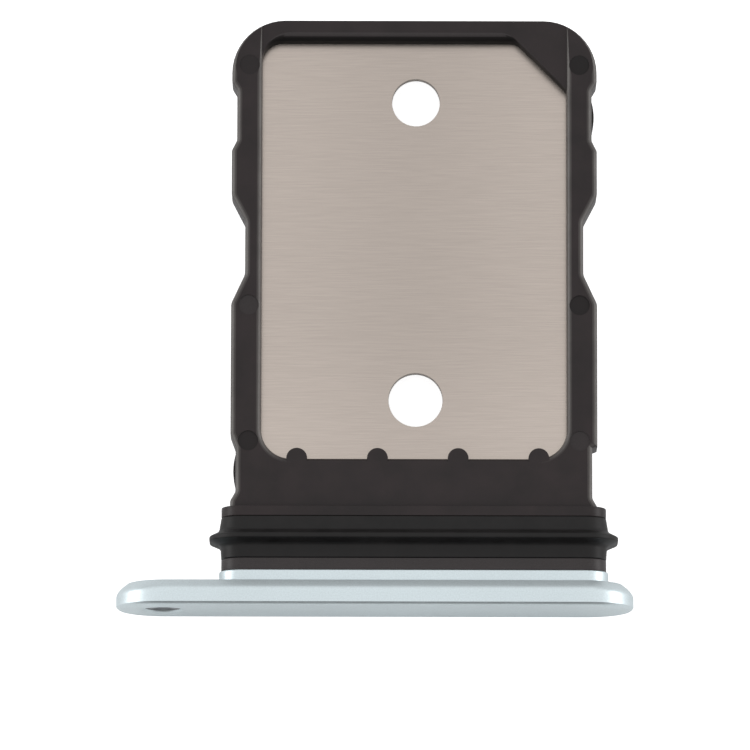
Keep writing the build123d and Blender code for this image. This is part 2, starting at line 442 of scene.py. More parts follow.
@dataclass(frozen=True)
class MouldedPlastic(Finish):
    """Black moulded plastic: a fine eroded texture, edges polished by the slot and painted paler as highlight, and
    painted light and shade in the pin marks and on some walls.
    """

    name: str = "moulded_plastic"
    colour: Triple = (0.0160, 0.0105, 0.0110)
    cloud_size: float = 1.1
    cloud_tones: Pair = (0.75, 1.30)
    # Rubbed edges, painted paler as highlight.
    worn_and_highlight_colour: Triple = (0.135, 0.126, 0.119)
    worn_and_highlight_patches: Pair = (0.65, 1.0)
    # Colours of painted light and painted shade for pin marks and walls.
    painted_light_colour: Triple = (0.055, 0.050, 0.050)
    painted_shade_colour: Triple = (0.0015, 0.0010, 0.0010)
    grain_size: float = 0.035
    grain_bump: Pair = (0.18, 0.007)
    roughness: Pair = (0.36, 0.45)
    polish: float = -0.16
    dullness: float = 0.35
    gloss: float = 0.325

    def surface(self, tree: NodeTree, place: NodeSocket) -> dict:
        """A cloudy black, with painted light and shade on pin marks and walls, and polished edges that are
        smoother and painted paler as highlight.
        """
        grain = tree.noise(place, self.grain_size * METRE, detail=3.0)
        cloud = tree.noise(place, self.cloud_size * METRE, detail=3.0)
        tone = tree.varied(cloud, self.colour, self.cloud_tones)
        # Painted light and shade: marks and walls made lighter or darker by the face attribute.
        painted_tone = tree.painted(PAINTED_TONE)
        light = tree.made("ShaderNodeClamp", {"Value": painted_tone})
        shade = tree.maths("MULTIPLY", painted_tone, -1.0, clamp=True)
        tone = tree.blend(tree.maths("MULTIPLY", light, grain), tone, self.painted_light_colour)
        tone = tree.blend(shade, tone, self.painted_shade_colour)
        # Polished rail edges: rubbed smoother, and painted paler as highlight.
        patchy = tree.spread(cloud, NOISE_BAND, self.worn_and_highlight_patches)
        worn_and_lit = tree.maths("MULTIPLY", tree.painted(WEAR_AND_HIGHLIGHT), patchy)
        tone = tree.blend(worn_and_lit, tone, self.worn_and_highlight_colour)
        rough = tree.spread(cloud, NOISE_BAND, self.roughness)
        rough = tree.maths("MULTIPLY_ADD", worn_and_lit, self.polish, rough)
        rough = tree.maths("MULTIPLY_ADD", shade, self.dullness, rough)
        return {"Base Color": tone, "Normal": tree.bump(grain, *self.grain_bump), "Roughness": rough,
                "Specular IOR Level": self.gloss}


@dataclass(frozen=True)
class BrushedSteel(Finish):
    """Stainless steel, brushed along X, with painted light: a little darker down its middle and brighter at the
    near end.
    """

    name: str = "brushed_steel"
    colour: Triple = (0.50, 0.44, 0.395)
    stroke_length: float = 1.1
    stroke_width: float = 0.030
    stroke_tones: Pair = (0.955, 1.04)
    stroke_bump: Pair = (0.10, 0.004)
    roughness: float = 0.24
    anisotropy: float = 0.6
    middle: float = 1.15
    half_width: float = 4.55
    # Painted light across the plate and along it.
    side_painted_light: Pair = (0.94, 1.03)
    near_fade: Pair = (-4.4, 0.1)
    near_painted_light: Pair = (1.08, 1.0)

    def surface(self, tree: NodeTree, place: NodeSocket) -> dict:
        """Long fine strokes, under two slow bands of painted light across the plate and along it."""
        scale = [1 / (size * METRE) for size in (self.stroke_length, self.stroke_width, 1.0)]
        lay = tree.made("ShaderNodeMapping", {"Vector": place, "Scale": scale})
        strokes = tree.noise(lay, 1.0, detail=4.0)
        tone = tree.varied(strokes, self.colour, self.stroke_tones)
        # Painted light: darker down the middle, lighter at the sides and at the near end.
        parts = tree.add("ShaderNodeSeparateXYZ", {"Vector": place}).outputs
        side = tree.maths("ABSOLUTE", tree.maths("SUBTRACT", parts["X"], self.middle * METRE))
        level = tree.spread(side, (0.0, self.half_width * METRE), self.side_painted_light, "SMOOTHSTEP")
        fade = (self.near_fade[0] * METRE, self.near_fade[1] * METRE)
        level = tree.maths("MULTIPLY", level, tree.spread(parts["Y"], fade, self.near_painted_light, "SMOOTHSTEP"))
        grey = tree.made("ShaderNodeCombineColor", {0: level, 1: level, 2: level})
        along = tree.made("ShaderNodeTangent", direction_type="UV_MAP", uv_map="brushing")
        return {"Base Color": tree.blend(1.0, tone, grey, "MULTIPLY"), "Tangent": along, "Metallic": 1.0,
                "Normal": tree.bump(strokes, *self.stroke_bump), "Roughness": self.roughness,
                "Anisotropic": self.anisotropy}


@dataclass(frozen=True)
class MouldedRubber(Finish):
    """Black silicone rubber, smooth and slightly waxy."""

    name: str = "moulded_rubber"
    colour: Triple = (0.0078, 0.0070, 0.0070)
    cloud_size: float = 0.6
    cloud_tones: Pair = (0.7, 1.35)
    roughness: Pair = (0.41, 0.53)
    gloss: float = 0.28

    def surface(self, tree: NodeTree, place: NodeSocket) -> dict:
        """A cloudy black."""
        cloud = tree.noise(place, self.cloud_size * METRE, detail=4.0)
        return {"Base Color": tree.varied(cloud, self.colour, self.cloud_tones),
                "Roughness": tree.spread(cloud, NOISE_BAND, self.roughness), "Specular IOR Level": self.gloss}


def paint(piece: Object, name: str, values: Iterable[float]) -> None:
    """Store one number per face, which the finish reads by the attribute's name."""
    layer = piece.data.attributes.new(name, "FLOAT", "FACE")
    layer.data.foreach_set("value", list(values))


def dress(piece: Object, material: Material, node: str, slot: Slot) -> None:
    """Give a piece its one material, and let it ride on the tray in place of its CAD node."""
    piece.data.materials.clear()
    piece.data.materials.append(material)
    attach(piece, BODY)
    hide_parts(node)
    LOG.info("%s: %d faces in %s", piece.name, len(piece.data.polygons), material.name)


@dataclass
class TrayPlan:
    """The places that several pieces share, along Y from the cap's outer face and up from its underside."""

    length: float = 17.765
    middle_x: float = 1.15
    middle_z: float = 1.395
    cap_width: float = 15.35
    cap_height: float = 2.79
    cap_thickness: float = 0.77
    neck_end: float = 1.10
    seal_start: float = 1.46
    seal_end: float = 2.72
    block_start: float = 3.02
    pocket_start: float = 4.485
    pocket_end: float = 17.175
    pocket_half_width: float = 4.55
    pocket_near_radius: float = 0.90
    pocket_far_radius: float = 0.60
    pocket_cut: float = 1.50
    pocket_cut_radius: float = 0.45
    flange_width: float = 11.41
    flange_height: float = 1.96
    flange_radius: float = 0.65
    seal_wall: float = 0.45
    carrier_bottom: float = 0.745
    carrier_top: float = 2.045
    plate_bottom: float = 0.995
    plate_top: float = 1.295
    plate_embed: float = 0.30
    tongue_side_wall: float = 0.85
    tongue_top_wall: float = 0.48
    tongue_radius: float = 0.15
    tongue_end: float = 0.52

    def y(self, distance: float) -> float:
        """The frame's Y, in millimetres, of a distance from the cap's outer face."""
        return distance - self.length / 2

    def flange(self) -> list[Corner]:
        """The section that neck and flanges share, across the tray."""
        return box_corners(self.middle_x, self.middle_z, self.flange_width, self.flange_height, self.flange_radius)

    def tongue(self) -> list[Corner]:
        """The section of the tongue that is seated in the neck."""
        width = self.flange_width - 2 * self.tongue_side_wall
        height = self.flange_height - 2 * self.tongue_top_wall
        return box_corners(self.middle_x, self.middle_z, width, height, self.tongue_radius)

    def pocket(self, reach: float = 0.0) -> list[Corner]:
        """The card pocket seen from above, with its far right corner cut off.

        Args:
            reach: how far the far edge is moved out over the end bar, the other edges staying in place.

        Returns:
            The corners, counter-clockwise.
        """
        left, right = self.middle_x - self.pocket_half_width, self.middle_x + self.pocket_half_width
        near, far = self.y(self.pocket_start), self.y(self.pocket_end)
        return [
            Corner(left, near, self.pocket_near_radius),
            Corner(right, near, self.pocket_near_radius),
            Corner(right, far - self.pocket_cut),
            Corner(right - self.pocket_cut - reach, far + reach, self.pocket_cut_radius + reach),
            Corner(left, far + reach, self.pocket_far_radius + reach),
        ]


@dataclass
class FaceCap:
    """The metal cap: a bar with half-round ends, a pin hole, and a hollow neck on its back.

    The front bevel is pairs of depth and inset. The back bevel is triples of depth, inset at the top and
    inset at the ends.
    """

    plan: TrayPlan
    front_bevel: tuple[Pair, ...] = (
        (0.0, 0.118), (0.010, 0.090), (0.028, 0.064), (0.048, 0.041), (0.066, 0.023), (0.082, 0.009), (0.096, 0.0),
    )
    back_bevel: tuple[Triple, ...] = (
        (0.40, 0.0, 0.0), (0.35, 0.0, 0.010), (0.30, 0.005, 0.030), (0.25, 0.023, 0.060), (0.20, 0.055, 0.100),
        (0.135, 0.1065, 0.160), (0.07, 0.157, 0.240), (0.0, 0.212, 0.33),
    )
    end_steps: int = 24
    end_slack: float = 1e-4
    pin_hole_radius: float = 0.52
    pin_hole_lead_in: float = 0.17
    pin_hole_steps: int = 64
    bore_margin: float = 0.03
    bore_slope: float = 0.5
    neck_overhang: float = 0.06
    neck_round: float = 0.04

    def bar(self, inset: float = 0.0, end_inset: float = 0.0) -> list[Corner]:
        """The cap's outline across the tray, drawn in at top and bottom and at the ends."""
        plan = self.plan
        height = plan.cap_height - 2 * inset
        return box_corners(0, plan.cap_height / 2, plan.cap_width - 2 * end_inset, height,
                           height / 2 - self.end_slack)

    def bore_shade(self, face: MeshPolygon) -> float:
        """One inside the pin hole, whose bore is painted dark as shade, and zero elsewhere."""
        spot = face.center / METRE
        middle = self.plan.cap_height / 2 - self.plan.cap_width / 2
        away = math.hypot(spot.x - middle, spot.z - self.plan.middle_z)
        inside = away < self.pin_hole_radius + self.bore_margin
        return 1.0 if inside and abs(face.normal.y) < self.bore_slope else 0.0

    def build(self, material: Material) -> None:
        """Make the cap in one shell."""
        plan = self.plan
        y = plan.y
        hole = (plan.cap_height / 2 - plan.cap_width / 2, plan.middle_z)
        shell = Shell(Level.ALONG)

        front = shell.rings(self.bar(), ((y(depth), inset) for depth, inset in self.front_bevel), self.end_steps)
        back = [shell.loop(rounded_outline(self.bar(inset, end_inset), 0, self.end_steps),
                           y(plan.cap_thickness - depth)) for depth, inset, end_inset in self.back_bevel]
        shell.skin(front + back)

        lead_in = [shell.loop(circle(*hole, self.pin_hole_radius + flare, self.pin_hole_steps), y(depth))
                   for flare, depth in rounding(self.pin_hole_lead_in, steps=8)]
        hole_back = shell.loop(circle(*hole, self.pin_hole_radius, self.pin_hole_steps), y(plan.cap_thickness))
        shell.skin(lead_in + [hole_back])
        shell.cover(front[0], lead_in[0])

        levels = [(y(plan.cap_thickness), -self.neck_overhang)]
        levels += [(y(plan.neck_end - drop), inset - self.neck_overhang)
                   for drop, inset in rounding(self.neck_round, steps=3)]
        neck = shell.rings(plan.flange(), levels)
        shell.skin(neck)
        shell.cover(back[-1], neck[0], hole_back)

        socket = shell.rings(plan.tongue(), ((y(plan.neck_end), 0), (y(plan.tongue_end), 0)), steps=4)
        shell.skin(socket)
        shell.cover(neck[-1], socket[0])
        shell.cover(socket[1])
        piece = shell.solid("anodised_face_cap")
        tidy_mesh(piece)
        paint(piece, WEAR_AND_HIGHLIGHT, (2 * abs(face.normal.y) * math.sqrt(max(1 - face.normal.y ** 2, 0))
                            for face in piece.data.polygons))
        # The bore is painted dark as shade.
        paint(piece, PAINTED_TONE, (self.bore_shade(face) for face in piece.data.polygons))
        dress(piece, material, "face_cap", Slot.CAP)


@dataclass
class CardPlate:
    """The steel plate under the card, with its two round holes, each a distance and a radius."""

    plan: TrayPlan
    hole_round: float = 0.015
    hole_offset: float = 0.05
    hole_steps: int = 96
    near_hole: Pair = (1.875, 0.805)
    far_hole: Pair = (1.79, 0.715)
    crisp_limit: float = math.radians(10)
    brushing_scale: float = 50.0

    def build(self, material: Material) -> None:
        """Make the plate, with a map that turns the brushing along X."""
        plan = self.plan
        x = plan.middle_x + self.hole_offset
        holes = (
            (plan.y(plan.pocket_start + self.near_hole[0]), self.near_hole[1]),
            (plan.y(plan.pocket_end - self.far_hole[0]), self.far_hole[1]),
        )
        shell = Shell()
        levels = [(z, -plan.plate_embed) for z in (plan.plate_bottom, plan.plate_top)]
        rim = shell.rings(plan.pocket(), levels, steps=8)
        shell.skin(rim)
        top, bottom = [rim[1]], [rim[0]]
        for y, radius in holes:
            lower, upper = (
                [shell.loop(circle(x, y, radius + flare, self.hole_steps), face + way * depth)
                 for depth, flare in rounding(self.hole_round, steps=2)]
                for face, way in ((plan.plate_bottom, 1), (plan.plate_top, -1))
            )
            shell.skin(lower[::-1] + upper)
            top.append(upper[-1])
            bottom.append(lower[-1])
        shell.cover(*top)
        shell.cover(*bottom)
        piece = shell.solid("brushed_card_plate")
        tidy_mesh(piece, self.crisp_limit)
        brushing = piece.data.uv_layers.new(name="brushing")
        for loop in piece.data.loops:
            spot = piece.data.vertices[loop.vertex_index].co * self.brushing_scale
            brushing.data[loop.index].uv = (spot.y, spot.x)
        dress(piece, material, "card_plate", Slot.PLATE)


@dataclass
class SealRing:
    """The rubber ring: one profile with a blunt lip, swept round the groove by a node tree."""

    plan: TrayPlan
    front_swell: float = 0.03
    rear_swell: float = 0.07
    lip_height: float = 0.36
    lip_foot: float = 0.42
    lip_tip: float = 0.13
    lip_tip_radius: float = 0.055
    lip_foot_radius: float = 0.15
    edge_radius: float = 0.05
    corner_steps: int = 14
    bend_steps: int = 6

    def sizes(self) -> dict[str, float]:
        """The node tree's sizes, by the names of its inputs."""
        plan = self.plan
        return {
            "Groove Width": plan.flange_width - 2 * plan.seal_wall,
            "Groove Height": plan.flange_height - 2 * plan.seal_wall,
            "Corner Radius": plan.flange_radius - plan.seal_wall,
            "Length": plan.seal_end - plan.seal_start,
            "Wall": plan.seal_wall,
            "Front Swell": self.front_swell,
            "Rear Swell": self.rear_swell,
            "Lip Height": self.lip_height,
            "Lip Foot": self.lip_foot,
            "Lip Tip": self.lip_tip,
            "Tip Radius": self.lip_tip_radius,
            "Foot Radius": self.lip_foot_radius,
            "Edge Radius": self.edge_radius,
        }

    def tree(self) -> bpy.types.NodeTree:
        """The node tree: a rounded rectangle, and the lip's profile swept along it."""
        tree = bpy.data.node_groups.new("seal_sweep", "GeometryNodeTree")
        nodes = NodeTree(tree)
        given = nodes.ends(self.sizes(), "Ring")
        path = nodes.made("GeometryNodeCurvePrimitiveQuadrilateral",
                          {"Width": given["Groove Width"], "Height": given["Groove Height"]})
        path = nodes.made("GeometryNodeFilletCurve", {"Curve": path, "Radius": given["Corner Radius"],
                                                      "Count": self.corner_steps}, mode="POLY")
        wall = given["Wall"]
        front, rear, tip = (nodes.maths("ADD", wall, given[size])
                            for size in ("Front Swell", "Rear Swell", "Lip Height"))
        spots = (
            (0.0, "Length", -0.5, 0.0),
            (wall, "Length", -0.5, given["Edge Radius"]),
            (front, "Lip Foot", -0.5, given["Foot Radius"]),
            (tip, "Lip Tip", -0.5, given["Tip Radius"]),
            (tip, "Lip Tip", 0.5, given["Tip Radius"]),
            (rear, "Lip Foot", 0.5, given["Foot Radius"]),
            (wall, "Length", 0.5, given["Edge Radius"]),
            (0.0, "Length", 0.5, 0.0),
        )
        index = nodes.made("GeometryNodeInputIndex")
        where = nodes.add("GeometryNodeIndexSwitch", data_type="VECTOR")
        radius = nodes.add("GeometryNodeIndexSwitch", data_type="FLOAT")
        for switch in (where, radius):
            while len(switch.index_switch_items) < len(spots):
                switch.index_switch_items.new()
            nodes.feed(switch, {0: index})
        for number, (out, size, share, bend) in enumerate(spots, 1):
            along = nodes.maths("MULTIPLY", given[size], share)
            nodes.feed(where, {number: nodes.made("ShaderNodeCombineXYZ", {"X": out, "Y": along})})
            nodes.feed(radius, {number: bend})
        row = nodes.made("GeometryNodeMeshLine", {"Count": len(spots)})
        row = nodes.made("GeometryNodeSetPosition", {"Geometry": row, "Position": where.outputs[0]})
        profile = nodes.made("GeometryNodeMeshToCurve", {"Mesh": row})
        profile = nodes.made("GeometryNodeSetSplineCyclic", {"Geometry": profile, "Cyclic": True})
        profile = nodes.made("GeometryNodeFilletCurve", {"Curve": profile, "Count": self.bend_steps,
                                                         "Radius": radius.outputs[0]}, mode="POLY")
        ring = nodes.made("GeometryNodeCurveToMesh", {"Curve": path, "Profile Curve": profile})
        upright = {"Geometry": ring, "Rotation": (math.pi / 2, 0.0, 0.0)}
        nodes.finish(nodes.made("GeometryNodeTransform", upright))
        return tree

    def build(self, material: Material) -> None:
        """Run the tree, keep its mesh, and put it in the groove."""
        plan = self.plan
        piece = link(bpy.data.objects.new("rubber_seal_ring", bpy.data.meshes.new("rubber_seal_ring")))
        grow(piece, self.tree(), self.sizes() | {"Finish": material})
        middle = plan.y((plan.seal_start + plan.seal_end) / 2)
        piece.data.transform(Matrix.Translation((plan.middle_x, middle, plan.middle_z)))
        tidy_mesh(piece)
        dress(piece, material, "seal_ring", Slot.SEAL)


@dataclass
class PinRow:
    """Upright pins on points, put there by a node tree: the card's ribs, or the cutters of the ejector marks."""

    name: str
    radius: float
    bottom: float
    top: float
    sides: int = 48

    def tree(self) -> bpy.types.NodeTree:
        """The node tree: one pin on each vertex of the object's own mesh."""
        tree = bpy.data.node_groups.new(self.name, "GeometryNodeTree")
        tree.interface.new_socket("Points", in_out="INPUT", socket_type="NodeSocketGeometry")
        nodes = NodeTree(tree)
        given = nodes.ends(("Pin Radius", "Pin Height"), "Pins")
        pin = nodes.made("GeometryNodeMeshCylinder", {"Vertices": self.sides, "Radius": given["Pin Radius"],
                                                      "Depth": given["Pin Height"]})
        nodes.finish(nodes.made("GeometryNodeInstanceOnPoints", {"Points": given["Points"], "Instance": pin}))
        return tree

    def build(self, places: Iterable[Point], material: Material) -> Object:
        """Stand a pin on each place.

        Args:
            places: the pins' middles, seen from above.
            material: the finish of the piece that they belong to.

        Returns:
            One object in millimetres with all the pins.
        """
        middle = (self.bottom + self.top) / 2
        points = bpy.data.meshes.new(self.name)
        points.from_pydata([(x, y, middle) for x, y in places], [], [])
        pins = link(bpy.data.objects.new(self.name, points))
        grow(pins, self.tree(), {"Pin Radius": self.radius, "Pin Height": self.top - self.bottom,
                                 "Finish": material})
        return pins


@dataclass
class CarrierFrame:
    """The moulded frame: tongue, flanges, block, rails and end bar, with everything cut into them.

    Pairs hold the left side's value and then the right side's. The waist and the far notch are the distances
    of their four corners, and each side's painted tones for the pin marks go from the near end to the far one. A
    reach is how far a cutter passes the face that it cuts, and a slope is a limit on one part of a face's normal.
    """

    plan: TrayPlan
    half_width: float = 5.45
    block_sink: float = 0.26
    notch_depth: float = 0.155
    waist_depth: float = 0.41
    notch_radius: float = 0.20
    waist_radius: float = 0.35
    end_radius: float = 1.60
    near_notch_starts: Pair = (3.49, 3.31)
    near_notch_ramps: Pair = (0.42, 0.06)
    near_notch_flare: float = 0.27
    near_notch_end: float = 4.815
    waist: tuple[float, float, float, float] = (9.165, 10.045, 11.645, 12.435)
    far_notch: tuple[float, float, float, float] = (13.805, 14.105, 15.615, 15.865)
    outer_round: float = 0.15
    inner_round: float = 0.14
    under_round: float = 0.08
    end_bar_round: float = 0.23
    flange_round: float = 0.03
    channel_growth: float = 0.003
    channel_reach: float = 0.5
    cutter_reach: float = 0.1
    sill_reach: float = 0.05
    lead_in_length: float = 1.65
    lead_in_drop: float = 0.07
    lead_in_run_out: float = 0.12
    lead_in_margin: float = 0.3
    lead_in_reach: float = 0.4
    window_lip: float = 0.35
    rib_radius: float = 0.31
    rib_pitch: float = 2.395
    rib_count: int = 4
    rib_row_offset: float = 0.115
    rib_root: float = 0.05
    rib_shortfall: float = 0.004
    mark_radius: float = 0.30
    mark_depth: float = 0.03
    mark_x: float = 4.925
    mark_places: Triple = (5.015, 9.105, 16.395)
    # Painted light and shade of each pin mark.
    mark_painted_tones: tuple[Triple, Triple] = ((-0.50, 0.45, -0.30), (0.35, -0.58, -0.68))
    stub_places: Pair = (4.145, 14.86)
    stub_length: float = 0.98
    stub_height: float = 0.60
    stub_proud: float = 0.07
    stub_root: float = 0.1
    # Painted light on the front flange and the end bar, and painted shade on the far wall.
    front_flange_painted_light: float = 0.8
    end_bar_painted_light: float = 0.7
    far_wall_painted_shade: float = 1.2
    flange_slope: float = 0.3
    end_bar_slope: float = 0.9
    far_wall_slope: float = -0.2
    floor_slope: float = 0.9998
    floor_slack: float = 0.001
    wall_slack: float = 0.01
    wear_and_highlight_start: float = 0.05
    wear_and_highlight_slopes: Pair = (0.15, 0.05)

    def side(self, right: bool) -> list[Corner]:
        """The corners of one side of the outline, from inside the rear flange to the far end."""
        plan = self.plan
        hand = 1 if right else -1
        start, ramp = self.near_notch_starts[right], self.near_notch_ramps[right]
        wide = self.half_width
        notch, narrow = wide - self.notch_depth, wide - self.waist_depth
        places = (
            (wide, plan.block_start - self.block_sink, 0.0),
            (wide, start - self.near_notch_flare, self.notch_radius),
            (notch, start, self.notch_radius),
            (notch, self.near_notch_end, 0.0),
            (wide, self.near_notch_end + ramp, 0.0),
            *zip((wide, narrow, narrow, wide), self.waist, (self.waist_radius,) * 4),
            *zip((wide, notch, notch, wide), self.far_notch, (self.notch_radius,) * 4),
            (wide, plan.length, self.end_radius),
        )
        return [Corner(plan.middle_x + hand * x, plan.y(y), radius) for x, y, radius in places]

    def channel(self) -> list[Corner]:
        """The top layer of the pocket seen from above, which is open at the far end."""
        plan = self.plan
        near, far = plan.y(plan.pocket_start), plan.y(plan.length + self.channel_reach)
        left, right = plan.middle_x - plan.pocket_half_width, plan.middle_x + plan.pocket_half_width
        radius = plan.pocket_near_radius
        return [Corner(left, near, radius), Corner(right, near, radius), Corner(right, far), Corner(left, far)]

    def blank(self) -> Object:
        """Block, rails and end bar before the pocket is cut, with rounded outer edges."""
        plan = self.plan
        under = reversed(rounding(self.under_round, steps=3))
        levels = [(plan.carrier_bottom + drop, inset) for drop, inset in under]
        levels += [(plan.carrier_top - drop, inset) for drop, inset in rounding(self.outer_round, steps=5)]
        return stack("moulded_carrier_frame", self.side(True) + self.side(False)[::-1], levels)

    def flanges(self) -> Object:
        """Tongue, front flange, seal groove and rear flange, in one shell along the tray."""
        plan = self.plan
        edge = rounding(self.flange_round, steps=2)
        shell = Shell(Level.ALONG)
        loops = shell.rings(plan.tongue(), ((plan.y(plan.tongue_end), 0), (plan.y(plan.neck_end), 0)))
        for start, end in ((plan.neck_end, plan.seal_start), (plan.seal_end, plan.block_start)):
            if start > plan.neck_end:
                loops += shell.rings(plan.flange(), ((plan.y(plan.seal_start), plan.seal_wall),
                                                     (plan.y(plan.seal_end), plan.seal_wall)))
            levels = [(plan.y(start + drop), inset) for drop, inset in reversed(edge)]
            levels += [(plan.y(end - drop), inset) for drop, inset in edge]
            loops += shell.rings(plan.flange(), levels)
        return shell.closed("flanges", loops)

    def ribs(self, material: Material) -> Object:
        """The row of half-round ribs on the near wall of the pocket."""
        plan = self.plan
        first = plan.middle_x + self.rib_row_offset - self.rib_pitch * (self.rib_count - 1) / 2
        near = plan.y(plan.pocket_start)
        places = [(first + number * self.rib_pitch, near) for number in range(self.rib_count)]
        row = PinRow("card_ribs", self.rib_radius, plan.plate_top - self.rib_root,
                     plan.carrier_top - self.rib_shortfall)
        return row.build(places, material)

    def marks(self, material: Material) -> Object:
        """The cutters of the ejector marks on both rails."""
        plan = self.plan
        places = [(plan.middle_x + hand * self.mark_x, plan.y(place)) for hand in (-1, 1)
                  for place in self.mark_places]
        row = PinRow("ejector_marks", self.mark_radius, plan.carrier_top - self.mark_depth,
                     plan.carrier_top + self.mark_depth)
        return row.build(places, material)

    def cut_pocket(self, piece: Object, material: Material) -> None:
        """Cut the pocket with its rounded rims, add the ribs, and cut the plate's seat and the window under it."""
        plan = self.plan
        sill = plan.carrier_top - self.inner_round
        levels = [(plan.plate_top - self.cutter_reach, 0.0)]
        levels += [(sill - drop, reach) for drop, reach in rounding(self.end_bar_round, steps=6)]
        levels += [(sill + self.sill_reach, self.end_bar_round)]
        shell = Shell()
        loops = [shell.loop(rounded_outline(plan.pocket(reach)), height) for height, reach in levels]
        combine(piece, shell.closed("pocket", loops), Join.CUT)
        levels = [(plan.carrier_top - drop, -grown - self.channel_growth)
                  for drop, grown in rounding(self.inner_round, steps=5)]
        levels += [(plan.carrier_top + self.cutter_reach, -self.inner_round)]
        combine(piece, stack("channel", self.channel(), levels), Join.CUT)
        combine(piece, self.ribs(material), Join.ADD)
        seat = [(plan.plate_bottom, -plan.plate_embed), (plan.plate_top, -plan.plate_embed)]
        combine(piece, stack("seat", plan.pocket(), seat), Join.CUT)
        window = [(plan.carrier_bottom - self.cutter_reach, self.window_lip),
                  (plan.plate_bottom + self.cutter_reach, self.window_lip)]
        combine(piece, stack("window", plan.pocket(), window), Join.CUT)

    def lead_in(self) -> Object:
        """The wedge taken off the top of the far end."""
        plan = self.plan
        margin = self.lead_in_margin
        slope = self.lead_in_drop / (self.lead_in_length + self.lead_in_run_out)
        near, far = plan.y(plan.length - self.lead_in_length), plan.y(plan.length + margin)
        shell = Shell()
        outline = box_corners(plan.middle_x, (near - margin + far) / 2, 2 * self.half_width + 1,
                              far - near + margin, 0)
        low, high = shell.rings(outline, ((plan.carrier_top, 0), (plan.carrier_top + self.lead_in_reach, 0)))
        for vert in low:
            vert.co.z -= (vert.co.y - near) * slope
        return shell.closed("lead_in", [low, high])

    def stub(self, right: bool) -> Object:
        """The trace of a gate in a notch: a low swelling that runs out at both ends."""
        plan = self.plan
        hand = 1 if right else -1
        wall = self.half_width - self.notch_depth
        middle, half = plan.y(self.stub_places[right]), self.stub_length / 2
        turns = [step / 10 for step in range(-11, 12)]
        swelling = [(turn, wall + self.stub_proud * (1 - turn * turn)) for turn in turns]
        swelling += [(turn, wall - self.stub_root) for turn in (turns[-1], turns[0])]
        outline = [Corner(plan.middle_x + hand * out, middle + half * turn) for turn, out in swelling]
        if not right:
            outline.reverse()
        levels = [(plan.middle_z - self.stub_height / 2, 0.0), (plan.middle_z + self.stub_height / 2, 0.0)]
        return stack("gate_stub", outline, levels)

    def painted_light_and_shade(self, face: MeshPolygon) -> float:
        """How much lighter or darker a face is painted, as light and shade on the ejector marks' floors; zero
        outside them.
        """
        plan = self.plan
        spot = face.center / METRE
        depth = plan.carrier_top - spot.z
        if face.normal.z < self.floor_slope or abs(depth - self.mark_depth) > self.floor_slack:
            return 0.0
        for hand, tones in zip((-1, 1), self.mark_painted_tones):
            x = plan.middle_x + hand * self.mark_x
            for place, tone in zip(self.mark_places, tones):
                if math.hypot(spot.x - x, spot.y - plan.y(place)) < self.mark_radius:
                    return tone
        return 0.0

    def painted_wall_light_and_shade(self, face: MeshPolygon) -> float:
        """Painted shade makes the pocket's far wall dull and dark; painted light makes the front flange and the
        end bar a little lighter.
        """
        plan = self.plan
        on_flange = plan.y(plan.neck_end) < face.center.y / METRE < plan.y(plan.seal_start)
        if on_flange and face.normal.z > self.flange_slope:
            return self.front_flange_painted_light
        if not self.on_far_wall(face):
            return 0.0
        if face.normal.z > self.end_bar_slope:
            return self.end_bar_painted_light
        back = face.normal.y
        return max(back * self.far_wall_painted_shade, -1.0) if back < self.far_wall_slope else 0.0

    def on_far_wall(self, face: MeshPolygon) -> bool:
        """Whether a face is on the end bar or the cut corner, between the rails and above the plate."""
        plan = self.plan
        spot = face.center / METRE
        beside = abs(spot.x - plan.middle_x) < plan.pocket_half_width - self.wall_slack
        above = spot.z > plan.plate_top - self.wall_slack
        return beside and above and spot.y > plan.y(plan.pocket_end - plan.pocket_cut)

    def slide_wear_and_highlight(self, face: MeshPolygon) -> float:
        """How much a face is polished by sliding and painted paler as highlight: all of it on the rails' eased
        edges, none at their ends.
        """
        flat = math.hypot(face.normal.x, face.normal.y)
        rail = self.plan.y(self.plan.block_start) + self.wear_and_highlight_start < face.center.y / METRE
        sloping = flat >= self.wear_and_highlight_slopes[0] and abs(face.normal.z) >= self.wear_and_highlight_slopes[1]
        if not (rail and sloping) or self.on_far_wall(face):
            return 0.0
        return 2 * abs(face.normal.z * face.normal.x)

    def build(self, material: Material) -> None:
        """Make the frame: join its bars, cut its pocket, and add ribs, marks and gate stubs."""
        piece = self.blank()
        combine(piece, self.flanges(), Join.ADD)
        self.cut_pocket(piece, material)
        combine(piece, self.lead_in(), Join.CUT)
        combine(piece, self.marks(material), Join.CUT)
        for right in (False, True):
            combine(piece, self.stub(right), Join.ADD)
        tidy_mesh(piece)
        # Rail edges: polished by sliding, and painted paler as highlight.
        paint(piece, WEAR_AND_HIGHLIGHT, (self.slide_wear_and_highlight(face) for face in piece.data.polygons))
        # Painted light and shade: pin marks, the front flange, the end bar and the far wall.
        paint(piece, PAINTED_TONE, (self.painted_light_and_shade(face) or self.painted_wall_light_and_shade(face) for face in piece.data.polygons))
        dress(piece, material, "carrier_frame", Slot.FRAME)


